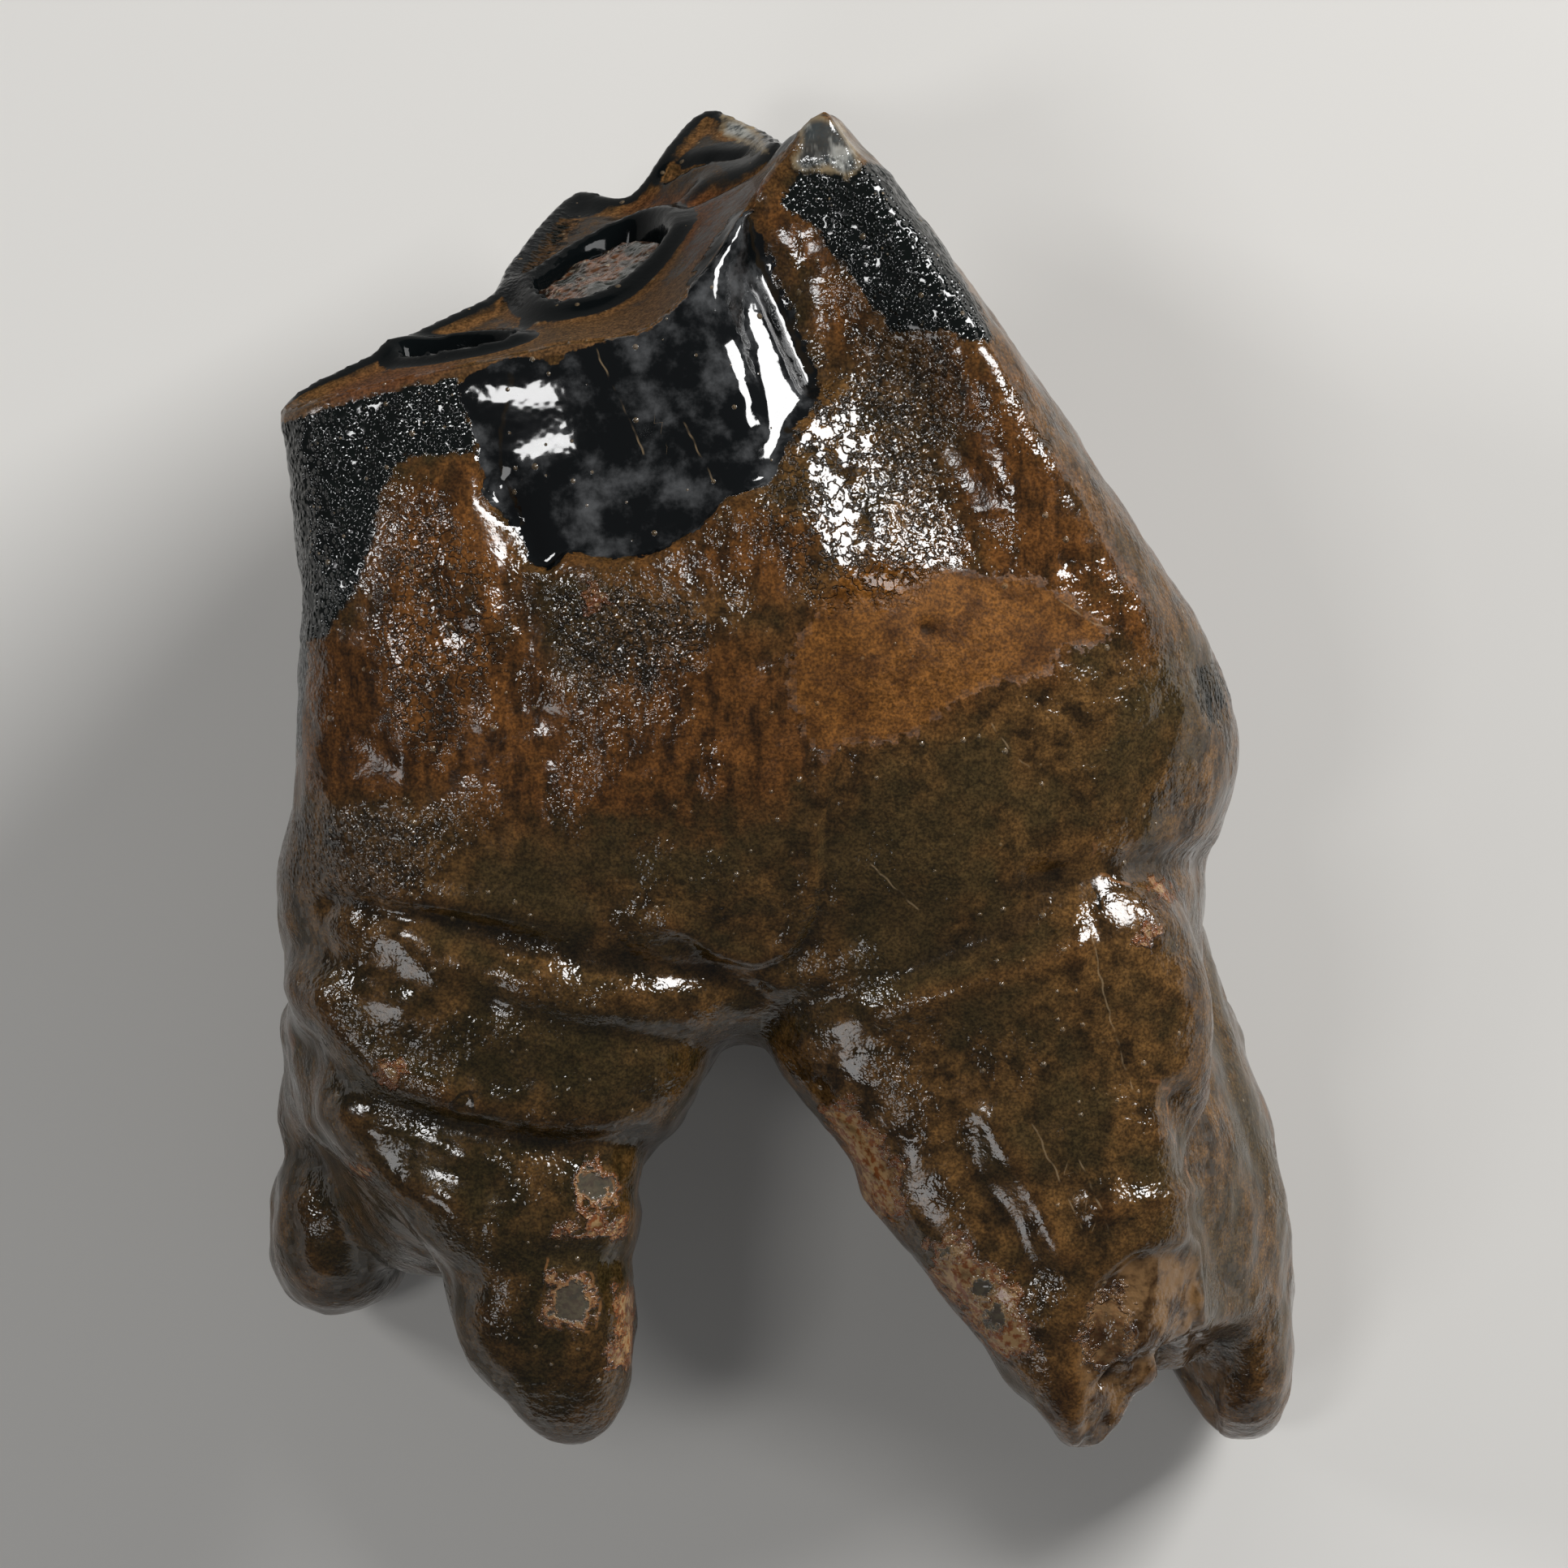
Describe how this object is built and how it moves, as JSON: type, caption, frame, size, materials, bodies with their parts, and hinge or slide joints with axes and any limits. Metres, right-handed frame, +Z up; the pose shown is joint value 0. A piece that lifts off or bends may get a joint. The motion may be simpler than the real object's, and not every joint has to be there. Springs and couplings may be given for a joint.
{
  "type": "fossil woolly rhinoceros upper molar",
  "caption": "Fossil rhinoceros cheek tooth lying on its side, with a worn ridged crown, smooth neck and splayed tapering roots.",
  "frame": {"origin": "on the floor plane, under the middle of the tooth's bounding box", "axes": "+Z is up, out of the cheek side; +Y runs from the root tips to the worn chewing surface; +X is towards the front of the mouth"},
  "size_m": [0.0626, 0.0812, 0.0482],
  "materials": {
    "tooth": "polished black-brown enamel and varnished brown cement, mottled and crusted",
    "pocket_cement": "rough, grainy brown cement"
  },
  "bodies": {
    "root": {"crown": "tooth", "root_trunk": "tooth", "root_rear_cheek": "tooth", "root_rear_tongue": "tooth", "root_front_cheek": "tooth", "root_front_tongue": "tooth", "pocket_fill_middle": "pocket_cement", "pocket_fill_rear": "pocket_cement"}
  },
  "joints": []
}
